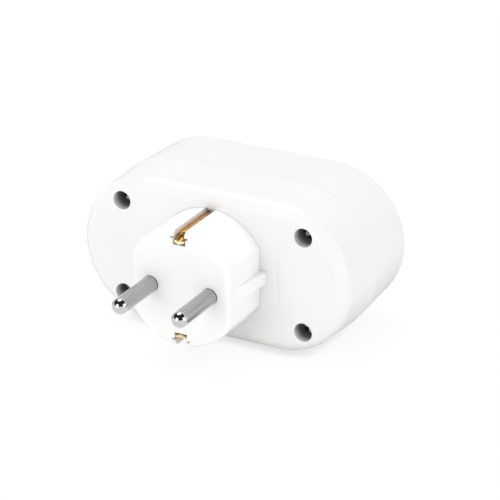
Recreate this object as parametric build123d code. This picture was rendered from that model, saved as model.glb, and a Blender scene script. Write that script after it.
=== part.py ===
from build123d import *
from math import radians, sqrt, tan
import os

# Two-way earthed mains adapter: one round-pin plug at the back, two socket wells at the front.
# Millimetres, +Z up. The origin is on the plug's axis in the plane of the rear face.
# The plug points along -Y, the wells open along +Y, and depths below are values of Y.

# Plug and socket standard
pin_spacing = 19.0  # between the axes of a pair of pins
pin_diameter = 4.8
pin_reach = 19.0  # from the nose's face to the tip of a pin
pin_margin = 8.4  # from a pin's axis to the outside of the nose
nose_length = 18.4
nose_flat = 2.25  # how far each side flat is cut into the round nose
flat_round = 2.5  # where a side flat meets the round of the nose
nose_rib = 3.6  # width of the guide rib on each flat
rib_start = 4.7  # from the nose's face to where a guide rib rises from its flat
nose_round = 1.6  # edge of the nose's face
nose_gap = 0.06  # room round the nose in the opening of the rear shell
notch_play = 0.1  # room above and below a guide rib in that opening
well_play = 1.6  # radial room between a nose and the well it enters
well_depth = 17.5
guide_play = 0.6  # room between a nose's flats and the lugs of the well

# Housing
wall = 2.2
well_web = 2.2  # between the two wells
well_rim = 3.9  # from a well to the outside at the parting line
well_floor = 2.2
draft = 2.8  # lean of both shells away from the parting line, in degrees
rear_round = 3.6
front_round = 1.9
inner_round = 1.1  # inside corner of the front shell
rim_round = 0.5  # edge of a well's mouth
seam = 0.2  # bevel on both sides of the parting line
seam_drop = 2.6  # parting line behind the back of the well floor
pin_tip_gap = 0.8  # from the tip of a pin pushed home to the rear wall
tongue_height = 1.8
tongue_play = 0.1
lug_drop = 1.5  # well lugs stop this far below the mouth
hole_play = 0.25  # radial room of a pin in a well's pin hole

# Plug nose, inside
nose_wall = 2.4
ear_reach = 4.8  # beyond a side flat, behind the wall of the rear shell
ear_thickness = 1.8
ear_play = 0.1
nose_face = 2.4
sleeve_wall = 1.6
sleeve_length = 9.4  # from the nose's face to the inner end of a pin sleeve
rail_cover = 1.75  # plastic beside an earth slot
rail_floor = 0.9  # plastic below the open end of a slot
slot_mouth = 3.4
slot_play = 0.05
groove_play = 0.1  # beside the edges of the strap
slot_foot = 1.8  # how far the open end of a slot goes below the strap
slot_end = 4.0  # width of that open end

# Pins
neck_step = 0.2
neck_reveal = 0.2  # the neck starts this far in front of the nose's face
shank_step = 0.4
tail_step = 0.6
collar_step = 0.55
collar_thickness = 1.4
pin_play = 0.05
pin_head = 1.0

# Current bars and contacts
bar_sheet = 1.0
bar_width = 4.2
bar_line = 7.5  # from the plane of the pins to the middle of a bar
bar_lift = 4.6  # bars stand this far off the rear wall
bar_bend = 1.1
tab_width = 6.0
tab_overlap = 3.2  # tab beyond the pin's axis
contact_sheet = 0.6
contact_grip = 0.1  # the waist of a contact is this much tighter than a pin, in radius
contact_flare = 0.8
contact_mouth = 2.4  # from the mouth of a contact to its waist
contact_root = 3.0  # part of a contact below its slits
contact_gap = 0.8  # below the well floor
contact_slit = 0.7
rib_thickness = 1.8
rib_margin = 0.4

# Earth path
strap_sheet = 0.65
strap_width = 5.5
strap_depth = 1.8  # from the outside of the nose to the strap
strap_dip = 1.2  # the tip of a strap steps in by this much
strap_step = 1.8  # over this length
strap_lip = 2.2
strap_tip_width = 3.8
strap_set = 1.2  # from the inside of the rear wall to the base of the strap
strap_bend = 0.8
clip_sheet = 0.8
clip_width = 7.0
clip_arm_width = 5.0
clip_tip_width = 2.8
clip_standoff = 1.2
clip_inset = 2.1  # from the round of the well to the foot of a clip arm
clip_preload = 0.8  # a clip reaches this far inside the strap of a plug
clip_height = 9.0  # of the contact point above the well floor
clip_reach = 14.0  # of the tip above the well floor
clip_taper = 4.5  # the arms narrow from this height above the well floor
clip_bend = 1.2
clip_play = 0.35
earth_line = 12.8
earth_leg = 6.0

# Screws and rivets
screw_across = 8.8  # from a socket's axis, along X
screw_up = 14.65  # from a socket's axis, along Z
screw_sunk = 5.0  # depth of a screw head below the rear face
screw_head_diameter = 5.2
screw_head = 2.0
screw_round = 1.0
screw_core = 2.4
screw_length = 10.6  # below the head
screw_seat = 2.5
screw_play = 0.25
shank_play = 0.5  # round the core of a screw in the rear shell
cross_width = 0.75
cross_span = 3.7
cross_depth = 1.1
boss_wall = 1.5
boss_gap = 0.15
pilot_play = 0.05
rivet_diameter = 2.0
rivet_head_diameter = 3.0
rivet_head = 0.7
rivet_round = 0.55
rivet_play = 0.05

# Worked out from the above
pin_radius = pin_diameter / 2
nose_radius = pin_spacing / 2 + pin_margin
nose_half_width = nose_radius - nose_flat
nose_flat_height = 2 * sqrt(nose_radius**2 - nose_half_width**2)
room_half_width = nose_half_width - nose_wall
ear_end = nose_half_width + ear_reach
ear_front = wall + ear_thickness
ear_half_height = bar_line + bar_width / 2
well_radius = nose_radius + well_play
socket_spacing = 2 * well_radius + well_web
body_radius = well_radius + well_rim
floor_front = wall + pin_tip_gap + pin_reach
floor_back = floor_front - well_floor
body_depth = floor_front + well_depth
parting = floor_back - seam_drop
nose_front = -nose_length
sleeve_end = nose_front + sleeve_length
tab_back = sleeve_end + collar_thickness
bar_back = wall + bar_lift
bar_front = bar_back + bar_sheet
contact_front = floor_back - contact_gap
strap_level = nose_radius - strap_depth
strap_middle = strap_level - strap_sheet / 2
strap_shoulder = nose_front + strap_lip + strap_step + strap_bend  # the narrow tip ends here
clip_front = floor_back - clip_standoff
clip_back = clip_front - clip_sheet
clip_foot = well_radius - clip_inset
rail_half_width = strap_width / 2 + rail_cover
rail_inner = strap_level - strap_sheet - slot_foot - rail_floor
rail_end = wall + strap_set
earth_back = rail_end + strap_sheet
tube_end = screw_sunk + screw_head + screw_seat
pin_hole_radius = pin_radius + hole_play
rib_root = wall / 2
post_root = floor_back + well_floor / 2
near_rib = room_half_width + rib_margin + rib_thickness / 2
far_rib = (socket_spacing + clip_width / 2 + pin_spacing / 2 - bar_width / 2) / 2
socket_places = (-socket_spacing / 2, socket_spacing / 2)
screw_places = [
    (side * (socket_spacing / 2 + screw_across), up * screw_up) for side in (-1, 1) for up in (-1, 1)
]


def prism(outline, start, end):
    """Carry an outline drawn in X and Z along Y, from depth start to a greater depth end."""
    plane = Plane(origin=(0, end, 0), x_dir=(1, 0, 0), z_dir=(0, -1, 0))
    return extrude(plane * outline, amount=end - start)


def block(x, z, start, end):
    """Upright block between two depths, with its sides given as ranges of X and Z."""
    outline = Pos(sum(x) / 2, sum(z) / 2) * Rectangle(x[1] - x[0], z[1] - z[0])
    return prism(outline, start, end)


def rod(radius, x, z, start, end):
    """Round bar or hole along Y."""
    return prism(Pos(x, z) * Circle(radius), start, end)


def half_turn(shape):
    """The same shape turned half round about the plug's axis."""
    return Rot(0, 180, 0) * shape


def stadium(profile):
    """Long round-ended form: a section in half height and depth, run straight and turned at both ends."""
    section = Plane(origin=(socket_spacing / 2, 0, 0), x_dir=(0, 0, 1), z_dir=(-1, 0, 0)) * profile
    right = revolve(section, Axis((socket_spacing / 2, 0, 0), (0, 1, 0)), 180)
    upper = extrude(section, amount=socket_spacing, dir=(-1, 0, 0))
    return right + mirror(right, Plane.YZ) + upper + mirror(upper, Plane.XY)


def half_height(depth):
    """Outside half height of the drafted body at a depth."""
    return body_radius - abs(parting - depth) * tan(radians(draft))


def section(inset, start, end, corner):
    """Drafted half section between two depths; corner rounds the edge away from the parting line."""
    tip = start if abs(start - parting) > abs(end - parting) else end
    face = Polygon(
        (0, start), (half_height(start) - inset, start), (half_height(end) - inset, end), (0, end), align=None
    )
    edge = face.vertices().sort_by_distance((half_height(tip) - inset, tip, 0))[0]
    return fillet(edge, corner)


def seam_bevel(side):
    """Half section of the bevel that shows as the parting line; side is -1 at the rear, 1 at the front."""
    far = parting + side * seam
    return Polygon(
        (half_height(far), far), (body_radius - seam, parting), (body_radius + seam, parting), align=None
    )


def ring(outer, inner, start, end):
    """Half section of an upright rim."""
    return Polygon((inner, start), (outer, start), (outer, end), (inner, end), align=None)


def strip(points, bend, sheet, width):
    """Bent strip of sheet metal: a path in Y and Z with rounded bends, as wide as width along X."""
    path = FilletPolyline(*points, radius=bend)
    return extrude(Plane.YZ.offset(-width / 2) * trace(path, sheet), amount=width)


def rivet(x, z, start, end):
    """Rivet with a rounded head on each side of a stack of sheets."""
    shank = rod(rivet_diameter / 2, x, z, start, end)
    lower = rod(rivet_head_diameter / 2, x, z, start - rivet_head, start)
    upper = rod(rivet_head_diameter / 2, x, z, end, end + rivet_head)
    lower = fillet(lower.faces().sort_by(Axis.Y)[0].edges(), rivet_round)
    upper = fillet(upper.faces().sort_by(Axis.Y)[-1].edges(), rivet_round)
    return lower + shank + upper


def nose_outline(gap):
    """Outline of the nose without its ribs, grown by a gap: a round with softly joined side flats."""
    flats = Rectangle(2 * (nose_half_width + gap), 4 * nose_radius)
    outline = Circle(nose_radius + gap) & flats
    return fillet(outline.vertices(), flat_round + gap)


def nose():
    """Round plug nose with a rounded face, two side flats, and a guide rib that rises from each flat."""
    core = prism(nose_outline(0), nose_front, wall)
    core = fillet(core.faces().sort_by(Axis.Y)[0].edges(), nose_round)
    slope = [(nose_half_width, nose_front + rib_start), (nose_radius, 0), (nose_radius, wall)]
    plan = Polyline(*slope, *[(-x, y) for x, y in reversed(slope)], close=True)
    ribs = extrude(make_face(plan), nose_rib / 2, both=True)
    return core + (ribs & rod(nose_radius, 0, 0, nose_front, wall))


def nose_opening():
    """Hole in the rear wall that the nose passes through: its round, its flats and notches for its ribs."""
    radius = nose_radius + nose_gap
    notches = Circle(radius) & Rectangle(2 * radius, nose_rib + 2 * notch_play)
    return prism(nose_outline(nose_gap) + notches, 0, wall)


def nose_room():
    """Hollow of the nose, less the rails that carry the earth slots and the sleeves that hold the pins."""
    inside = Circle(nose_radius - nose_wall) & Rectangle(2 * room_half_width, 2 * nose_radius)
    room = prism(inside, nose_front + nose_face, wall)
    for side in (-1, 1):
        rail = block((-rail_half_width, rail_half_width), (rail_inner, nose_radius), nose_front, wall)
        room -= rail if side > 0 else half_turn(rail)
        sleeve = pin_radius + shank_step + pin_play + sleeve_wall
        room -= rod(sleeve, side * pin_spacing / 2, 0, nose_front, sleeve_end)
    return room


def earth_slot():
    """Slot along the top of the nose: open mouth, grooves for the strap's edges and a deeper open end."""
    groove_half = strap_width / 2 + groove_play
    groove_low = strap_level - strap_sheet - slot_play
    mouth = block((-slot_mouth / 2, slot_mouth / 2), (groove_low, nose_radius), nose_front, rail_end)
    groove = block((-groove_half, groove_half), (groove_low, strap_level + slot_play), nose_front, rail_end)
    bend_low = strap_middle - strap_bend
    bend = block((-groove_half, groove_half), (bend_low, strap_level), rail_end - strap_bend, rail_end)
    foot_low = groove_low - slot_foot
    foot = block((-slot_end / 2, slot_end / 2), (foot_low, strap_level), nose_front, strap_shoulder)
    return mouth + groove + bend + foot


def pin_bore(x):
    """Stepped hole for a pin: a close hole through the nose's face, then the bore of the sleeve."""
    face = rod(pin_radius + pin_play, x, 0, nose_front, nose_front + nose_face)
    return face + rod(pin_radius + shank_step + pin_play, x, 0, nose_front + nose_face, sleeve_end)


def plug_nose():
    """Plug insert: the hollow nose, with its earth rails and two ears for the bars behind the rear wall."""
    insert = nose() - nose_room()
    half_rib = rib_thickness / 2
    ear = block((room_half_width, ear_end), (-ear_half_height, ear_half_height), wall, ear_front)
    for up in (-1, 1):
        edges = sorted((up * (bar_line - bar_width / 2), up * ear_half_height))
        ear += block((near_rib - half_rib, near_rib + half_rib), edges, wall, bar_back)
    rail = block((-rail_half_width, rail_half_width), (rail_inner, nose_radius), wall, rail_end)
    rail &= rod(nose_radius, 0, 0, wall, rail_end)
    insert += [ear, half_turn(ear), rail, half_turn(rail)]
    insert -= [earth_slot(), half_turn(earth_slot())]
    for side in (-1, 1):
        insert -= pin_bore(side * pin_spacing / 2)
    head_room = rail_end - rivet_head - slot_play
    return insert - rod(rivet_head_diameter / 2 + rib_margin, 0, earth_line, head_room, rail_end)


def clip_pillar():
    """Upright on the rear wall that stops an ear of the plug insert and backs the earth clip of a socket."""
    stop = ear_end + ear_play
    half_rib = rib_thickness / 2
    pillar = block((stop, stop + rib_thickness), (-ear_half_height, ear_half_height), rib_root, ear_front)
    pillar += block((stop, stop + rib_thickness), (-bar_width, bar_width), rib_root, clip_back)
    clip_edge = (socket_spacing + clip_width) / 2
    return pillar + block((stop, clip_edge), (-half_rib, half_rib), rib_root, clip_back)


def rear_housing():
    """Rear shell with an opening for the plug nose, the sunk screw tubes and what carries the metal parts."""
    housing = stadium(section(0, 0, parting, rear_round))
    housing -= stadium(section(wall, wall, parting, rear_round - wall))
    housing -= stadium(seam_bevel(-1))
    tongue_outer = body_radius - wall / 2
    housing -= stadium(ring(tongue_outer, 0, parting - tongue_height - tongue_play, parting))
    housing -= nose_opening()
    for x, z in screw_places:
        housing += rod(screw_head_diameter / 2 + screw_play + boss_wall, x, z, rib_root, tube_end)
    for x, z in screw_places:
        housing -= rod(screw_head_diameter / 2 + screw_play, x, z, 0, screw_sunk + screw_head)
        housing -= rod(screw_core / 2 + shank_play, x, z, screw_sunk + screw_head, tube_end)
    half_rib = rib_thickness / 2
    bar_edges = (bar_line - bar_width / 2, bar_line + bar_width / 2)
    rib = block((-far_rib - half_rib, -far_rib + half_rib), bar_edges, rib_root, bar_back)
    return housing + [rib, half_turn(rib), clip_pillar(), half_turn(clip_pillar())]


def well(x):
    """Round well that takes a plug, with a hollow above and below for the arms of its earth clip."""
    hollow = rod(well_radius, x, 0, floor_front, body_depth)
    half = clip_arm_width / 2 + clip_play
    top = clip_foot + clip_sheet / 2 + clip_inset + clip_play
    return hollow + block((x - half, x + half), (-top, top), floor_front, body_depth - well_rim)


def well_lugs(x):
    """Guide lugs on both sides of a well, with a groove between them for the rib of a plug's nose."""
    inner = nose_half_width + guide_play
    low = nose_rib / 2 + guide_play
    high = nose_flat_height / 2 - guide_play
    lugs = Part()
    for side in (-1, 1):
        for up in (-1, 1):
            across = sorted((x + side * inner, x + side * (well_radius + well_web / 2)))
            lugs += block(across, sorted((up * low, up * high)), floor_front, body_depth - lug_drop)
    return lugs & rod(well_radius + well_web / 2, x, 0, floor_front, body_depth)


def front_housing():
    """Front shell: two wells with their floors inside a drafted cover, and posts that hold the metal down."""
    outer = stadium(section(0, parting, body_depth, front_round))
    housing = outer - stadium(section(wall, parting, body_depth - wall, inner_round))
    for x in socket_places:
        housing += rod(well_radius + well_web, x, 0, floor_back, body_depth) & outer
    housing -= stadium(seam_bevel(1))
    tongue_outer = body_radius - wall / 2 - tongue_play
    tongue = ring(tongue_outer, body_radius - wall, parting - tongue_height, floor_back)
    housing += stadium(tongue)
    for x in socket_places:
        housing -= rod(well_radius, x, 0, floor_front, body_depth)
    mouths = housing.faces().sort_by(Axis.Y)[-1].inner_wires()
    housing = fillet([edge for mouth in mouths for edge in mouth.edges()], rim_round)
    for x in socket_places:
        housing -= well(x)
        housing += well_lugs(x)
    half_rib = rib_thickness / 2
    bar_edges = (bar_line - bar_width / 2 + rib_margin, bar_line + bar_width / 2 - rib_margin)
    for x in (-far_rib, -near_rib, near_rib):
        post = block((x - half_rib, x + half_rib), bar_edges, bar_front, post_root)
        housing += [post, half_turn(post)]
    for x, z in screw_places:
        housing += rod(screw_core / 2 + pilot_play + boss_wall, x, z, tube_end + boss_gap, floor_back)
    for x, z in screw_places:
        pilot_end = screw_sunk + screw_head + screw_length + boss_gap
        housing -= rod(screw_core / 2 + pilot_play, x, z, tube_end + boss_gap, pilot_end)
    for x in socket_places:
        for up in (-1, 1):
            seat = sorted((up * bar_line, up * (bar_line + rib_thickness)))
            housing += block((x - clip_width / 2, x + clip_width / 2), seat, clip_front, floor_back)
            for side in (-1, 1):
                housing -= rod(pin_hole_radius, x + side * pin_spacing / 2, 0, floor_back, floor_front)
            half = clip_arm_width / 2 + clip_play
            arm = clip_sheet / 2 + clip_play
            gap = sorted((up * (clip_foot - arm), up * (clip_foot + arm)))
            housing -= block((x - half, x + half), gap, clip_front, floor_front)
    return housing


def plug_pin():
    """Turned pin on the Y axis: ball tip, shaft, neck in the nose's face, shank, collar and riveted tail."""
    tip = nose_front - pin_reach
    shank = pin_radius + shank_step
    tail = pin_radius - tail_step
    tab_front = tab_back + bar_sheet
    shoulder = nose_front + nose_face
    corners = [
        (pin_radius, tip + pin_radius),
        (pin_radius, nose_front - neck_reveal),
        (pin_radius - neck_step, nose_front - neck_reveal),
        (pin_radius - neck_step, shoulder),
        (shank, shoulder),
        (shank, sleeve_end),
        (shank + collar_step, sleeve_end),
        (shank + collar_step, tab_back),
        (tail, tab_back),
        (tail, tab_front),
        (tail + pin_head, tab_front),
        (tail, tab_front + pin_head),
        (0, tab_front + pin_head),
        (0, tip),
    ]
    ball = RadiusArc((0, tip), (pin_radius, tip + pin_radius), -pin_radius)
    return revolve(make_face([*Polyline(*corners).edges(), *ball.edges()]), Axis.Y)


def current_bar():
    """Bar that joins a pin to one contact of each socket, with a tab bent into the nose to meet the pin."""
    pin_x = -pin_spacing / 2
    contact_x = (socket_spacing + pin_spacing) / 2
    bar = block(
        (-contact_x - bar_width / 2 - rib_margin, near_rib + rib_thickness / 2),
        (bar_line - bar_width / 2, bar_line + bar_width / 2),
        bar_back,
        bar_front,
    )
    leg = bar_line - bar_width / 2 - bar_sheet / 2
    middle = bar_back + bar_sheet / 2
    foot = tab_back + bar_sheet / 2
    route = [(middle, bar_line), (middle, leg), (foot, leg), (foot, -tab_overlap)]
    bar += Pos(pin_x, 0, 0) * strip(route, bar_bend, bar_sheet, tab_width)
    bar -= rod(pin_radius - tail_step + pin_play, pin_x, 0, tab_back, tab_back + bar_sheet)
    for x in (-contact_x, (socket_spacing - pin_spacing) / 2):
        bar -= rod(rivet_diameter / 2 + rivet_play, x, bar_line, bar_back, bar_front)
    return bar


def pin_contact():
    """Split sleeve that grips a pin, waisted below a flared mouth, with a foot that is riveted to a bar."""
    base = pin_radius + hole_play + contact_sheet / 2
    waist = pin_radius - contact_grip + contact_sheet / 2
    flare = pin_radius + contact_flare + contact_sheet / 2
    line = Polyline((base, bar_front), (waist, contact_front - contact_mouth), (flare, contact_front))
    sleeve = revolve(trace(line, contact_sheet), Axis.Y)
    slit = (-contact_slit / 2, contact_slit / 2)
    sleeve -= block((-bar_line, bar_line), slit, bar_front + contact_root, floor_back)
    half = bar_width / 2
    foot = block((-half, half), (base, bar_line + half), bar_front, bar_front + contact_sheet)
    foot -= rod(base, 0, 0, bar_front, bar_front + contact_sheet)
    foot -= rod(rivet_diameter / 2 + rivet_play, 0, bar_line, bar_front, bar_front + contact_sheet)
    return sleeve + foot


def plug_earth_strap():
    """U-shaped strap: an arm in each earth slot of the nose, its narrow tip stepped in at the nose's face."""
    base = rail_end + strap_sheet / 2
    step_end = nose_front + strap_lip
    step_start = step_end + strap_step
    arm = [
        (nose_front, strap_middle - strap_dip),
        (step_end, strap_middle - strap_dip),
        (step_start, strap_middle),
        (base, strap_middle),
    ]
    points = arm + [(y, -z) for y, z in reversed(arm)]
    strap = strip(points, strap_bend, strap_sheet, strap_width)
    for side in (-1, 1):
        edge = sorted((side * strap_tip_width / 2, side * strap_width))
        strap -= block(edge, (-nose_radius, nose_radius), nose_front, strap_shoulder)
    return strap - rod(rivet_diameter / 2 + rivet_play, 0, earth_line, rail_end, earth_back)


def earth_bar():
    """Hat-shaped bar from the strap of the plug up to the clips of both sockets."""
    end = (socket_spacing + clip_width) / 2
    low = earth_back + bar_sheet / 2
    high = clip_back - bar_sheet / 2
    half_path = [(earth_leg, low), (earth_leg, high), (end, high)]
    path = FilletPolyline(*[(-x, y) for x, y in reversed(half_path)], *half_path, radius=bar_bend)
    bar = extrude(Plane.XY.offset(earth_line - bar_width / 2) * trace(path, bar_sheet), amount=bar_width)
    bar -= rod(rivet_diameter / 2 + rivet_play, 0, earth_line, earth_back, earth_back + bar_sheet)
    for x in socket_places:
        bar -= rod(rivet_diameter / 2 + rivet_play, x, earth_line, clip_back - bar_sheet, clip_back)
    return bar


def earth_clip():
    """Spring clip of a socket: two arms through the well floor, bowed inwards, with flared narrow tips."""
    middle = clip_back + clip_sheet / 2
    touch = strap_level - clip_preload + clip_sheet / 2
    arm = [
        (floor_front + clip_reach, clip_foot),
        (floor_front + clip_height, touch),
        (floor_front + clip_sheet, clip_foot),
        (middle, clip_foot),
    ]
    clip = strip(arm + [(y, -z) for y, z in reversed(arm)], clip_bend, clip_sheet, clip_width)
    blank = [
        (clip_width / 2, clip_back),
        (clip_width / 2, clip_front),
        (clip_arm_width / 2, clip_front),
        (clip_arm_width / 2, floor_front + clip_taper),
        (clip_tip_width / 2, floor_front + clip_height),
        (clip_tip_width / 2, floor_front + clip_reach + clip_sheet),
    ]
    outline = Polygon(*blank, *[(-x, y) for x, y in reversed(blank)], align=None)
    clip &= extrude(Plane.XY.offset(-well_radius) * outline, amount=2 * well_radius)
    return clip - rod(rivet_diameter / 2 + rivet_play, 0, earth_line, clip_back, clip_front)


def housing_screw():
    """Pan-head screw with a plain core and a cross recess, on the Y axis with its head towards the rear."""
    seat = screw_sunk + screw_head
    head = rod(screw_head_diameter / 2, 0, 0, screw_sunk, seat)
    head = fillet(head.faces().sort_by(Axis.Y)[0].edges(), screw_round)
    screw = head + rod(screw_core / 2, 0, 0, seat, seat + screw_length)
    for x, z in ((cross_span / 2, cross_width / 2), (cross_width / 2, cross_span / 2)):
        screw -= block((-x, x), (-z, z), screw_sunk, screw_sunk + cross_depth)
    return screw


def nodes():
    """Every piece of the adapter by name, in its place."""
    outer = (socket_spacing + pin_spacing) / 2
    inner = (socket_spacing - pin_spacing) / 2
    contact = pin_contact()
    bar = current_bar()
    contact_top = bar_front + contact_sheet
    live_rivets = [rivet(x, bar_line, bar_back, contact_top) for x in (-outer, inner)]
    clip_rivets = [rivet(x, earth_line, clip_back - bar_sheet, clip_front) for x in socket_places]
    return {
        "rear_housing": rear_housing(),
        "plug_nose": plug_nose(),
        "front_housing": front_housing(),
        "live_pin": Pos(-pin_spacing / 2, 0, 0) * plug_pin(),
        "neutral_pin": Pos(pin_spacing / 2, 0, 0) * plug_pin(),
        "live_bar": bar,
        "neutral_bar": half_turn(bar),
        "live_contact_left": Pos(-outer, 0, 0) * contact,
        "live_contact_right": Pos(inner, 0, 0) * contact,
        "neutral_contact_left": half_turn(Pos(inner, 0, 0) * contact),
        "neutral_contact_right": half_turn(Pos(-outer, 0, 0) * contact),
        "contact_rivets": Compound(live_rivets + [half_turn(item) for item in live_rivets]),
        "plug_earth_strap": plug_earth_strap(),
        "earth_bar": earth_bar(),
        "earth_clip_left": Pos(socket_places[0], 0, 0) * earth_clip(),
        "earth_clip_right": Pos(socket_places[1], 0, 0) * earth_clip(),
        "earth_rivets": Compound([rivet(0, earth_line, rail_end, earth_back + bar_sheet), *clip_rivets]),
        "housing_screws": Compound([Pos(x, 0, z) * housing_screw() for x, z in screw_places]),
    }


os.makedirs("parts", exist_ok=True)
for name, shape in nodes().items():
    export_step(shape, f"parts/{name}.step")
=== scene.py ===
"""Looks of a two-way earthed adapter: white moulded shells, bright turned pins and bronze earth springs.

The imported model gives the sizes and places. The shells and the inner metal keep their own meshes and get
finishes. The pins, the earth springs, the screws and the walls that close the earth slots are surfaces
worked out here on grids of two parameters. All lengths are metres, +Z is up, the plug points along -Y and
the wells open along +Y.
"""

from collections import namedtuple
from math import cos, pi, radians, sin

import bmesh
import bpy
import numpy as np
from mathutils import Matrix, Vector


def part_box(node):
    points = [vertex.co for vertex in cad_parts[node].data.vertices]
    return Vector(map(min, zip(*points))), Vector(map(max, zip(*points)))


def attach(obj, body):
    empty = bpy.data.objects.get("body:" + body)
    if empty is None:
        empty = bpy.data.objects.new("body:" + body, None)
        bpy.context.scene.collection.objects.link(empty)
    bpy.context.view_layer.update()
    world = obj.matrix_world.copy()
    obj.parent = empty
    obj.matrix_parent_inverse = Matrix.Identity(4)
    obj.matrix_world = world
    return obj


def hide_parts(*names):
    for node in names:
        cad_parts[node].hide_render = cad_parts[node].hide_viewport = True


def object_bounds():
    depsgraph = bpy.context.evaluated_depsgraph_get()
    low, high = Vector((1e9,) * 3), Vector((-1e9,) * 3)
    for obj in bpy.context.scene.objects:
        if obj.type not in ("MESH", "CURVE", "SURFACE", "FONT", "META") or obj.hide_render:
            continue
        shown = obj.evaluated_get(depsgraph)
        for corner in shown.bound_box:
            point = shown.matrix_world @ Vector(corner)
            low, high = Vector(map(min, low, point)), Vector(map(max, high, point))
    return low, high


bl_info = {
    "name": "Two-way adapter",
    "version": (1, 0, 0),
    "blender": (4, 5, 0),
    "location": "3D View > Sidebar > Adapter",
    "description": "Finishes, turned pins, earth springs, screws and studio of a two-way mains adapter",
    "category": "Object",
}

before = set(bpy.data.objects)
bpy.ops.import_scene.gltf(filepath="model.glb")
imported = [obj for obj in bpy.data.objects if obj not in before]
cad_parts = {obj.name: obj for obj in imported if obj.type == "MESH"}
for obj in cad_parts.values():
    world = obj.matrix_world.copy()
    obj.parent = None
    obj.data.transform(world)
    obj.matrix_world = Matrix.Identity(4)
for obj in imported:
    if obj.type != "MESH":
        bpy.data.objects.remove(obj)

CAD_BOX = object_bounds()
MM = 0.001
BODY = "root"

# How finely the surfaces are divided
PIN_COLUMNS = 128
BALL_ROWS = 40
SCREW_COLUMNS = 96
RECESS_ROWS = 40
RIM_POINTS = 9
THREAD_ROWS = 90
CORNER_POINTS = 5
FACE_POINTS = 10
ARC_POINTS = 16
STRIP_STEP = 0.14 * MM
SHARP_ANGLE = radians(32)
WELD_DISTANCE = 1e-7


def length(name, description, millimetres):
    """A size that a user would change, given in millimetres and kept in metres."""
    return bpy.props.FloatProperty(
        name=name, description=description, default=millimetres * MM, unit="LENGTH", precision=5
    )


def angle(name, description, degrees):
    """An angle that a user would change, given in degrees."""
    return bpy.props.FloatProperty(
        name=name, description=description, default=radians(degrees), subtype="ANGLE"
    )


def number(name, description, default):
    """A plain number that a user would change."""
    return bpy.props.FloatProperty(name=name, description=description, default=default, precision=3)


def tint(name, description, default):
    """A linear colour that a user would change."""
    return bpy.props.FloatVectorProperty(
        name=name, description=description, default=default, subtype="COLOR", size=3, min=0, max=1
    )


class AdapterFinish(bpy.types.PropertyGroup):
    """Colours and gloss of the plastic and the metals."""

    plastic: tint("Plastic", "White of the moulded shells", (0.87, 0.87, 0.865))
    # Nose plastic: a lighter copy of the shells' white, painted light on the nose and the walls in its
    # slots
    nose: tint("Nose plastic", "Purer white of the plug's nose", (0.94, 0.94, 0.935))
    plastic_roughness: number("Plastic roughness", "Gloss of the shells", 0.34)
    nickel: tint("Pin plating", "Drawn and plated shaft of a pin", (0.45, 0.45, 0.45))
    nickel_roughness: number("Pin roughness", "Gloss of the shaft", 0.2)
    polish: tint("Pin polish", "Polished ball of a pin", (0.6, 0.6, 0.6))
    polish_roughness: number("Polish roughness", "Gloss of the ball", 0.06)
    bronze: tint("Earth spring", "Bronze of the strap and the clips", (0.70, 0.37, 0.11))
    tarnish: tint("Tarnish", "Darker patches of the bronze", (0.36, 0.15, 0.035))
    # Rubbed end: bright cream painted on the strap's front end, a painted highlight on its rubbed edge
    rubbed_highlight: tint("Rubbed end", "Bright bronze at the front end of the strap", (0.92, 0.75, 0.43))
    rubbed_highlight_length: length("Rubbed length", "How far the bright end of the strap goes back", 0.3)
    bronze_roughness: number("Spring roughness", "Gloss of the strap and the clips", 0.26)
    brass: tint("Contact brass", "Brass of the bars, contacts and rivets", (0.78, 0.58, 0.27))
    steel: tint("Screw steel", "Blackened steel of the screws", (0.07, 0.07, 0.075))
    # Worn steel: the recess's worn edge, painted near white as a painted glint
    glint_worn_steel: tint("Worn steel", "Bare steel where a driver has worn the recess", (0.95, 0.95, 0.95))
    steel_roughness: number("Screw roughness", "Gloss of the screws", 0.26)


class AdapterPins(bpy.types.PropertyGroup):
    """Sizes of the turned pins."""

    radius: length("Radius", "Half the diameter of the shaft", 2.4)
    reach: length("Reach", "From the nose's face to the tip", 19.0)
    neck_step: length("Neck step", "How far the neck is turned down in the nose's face", 0.2)
    neck_reveal: length("Neck reveal", "How far the neck shows in front of the face", 0.2)
    neck_length: length("Neck length", "From the face to the shank", 2.4)
    shank_step: length("Shank step", "How much wider the shank is than the shaft", 0.4)
    sleeve: length("Sleeve", "From the face to the collar", 9.4)
    collar_step: length("Collar step", "How much wider the collar is than the shank", 0.55)
    collar: length("Collar", "Thickness of the collar", 1.4)
    tail_step: length("Tail step", "How much thinner the tail is than the shaft", 0.6)
    head: length("Riveted head", "Height and overhang of the riveted head", 1.0)
    bevel: length("Bevel", "Broken edge at each shoulder", 0.06)


class AdapterStrap(bpy.types.PropertyGroup):
    """Sizes of the plug's earth strap."""

    sheet: length("Sheet", "Thickness of the strap", 0.65)
    tip_width: length("Tip width", "Width of the narrow tip", 3.3)
    dip: length("Dip", "How far the tip steps in", 1.2)
    step: length("Step", "Length of the slope behind the tip", 1.8)
    lip: length("Lip", "Length of the tip", 2.2)
    scoop: length("Scoop", "From the end of the tip to its lowest point", 0.8)
    curl: length("Curl", "How far the end of the tip turns up again", 0.35)
    spring: length("Spring", "How far an arm stands out over its seat", 0.35)
    crown: length("Crown", "How far the middle of an arm is pressed out", 0.35)
    hollow: length("Hollow", "How far the middle of the tip is pressed in", 0.6)
    crown_half: length("Crown half width", "Half the width that is pressed", 1.9)
    bend: length("Bend", "Radius of the bends, at the middle of the sheet", 0.8)
    edge: length("Edge", "Rounding of the sheared edges", 0.14)


class AdapterSlots(bpy.types.PropertyGroup):
    """Sizes of the walls that close the earth slots behind the rear face."""

    width: length("Width", "Width of a wall", 3.36)
    height: length("Height", "Height of a wall", 0.95)
    thickness: length("Thickness", "Thickness of a wall", 0.6)
    depth: length("Depth", "From the rear face to the middle of a wall", 1.2)
    cover: length("Cover", "From the outside of the nose to a wall", 0.06)
    edge: length("Edge", "Rounding of the edges", 0.05)


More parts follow.
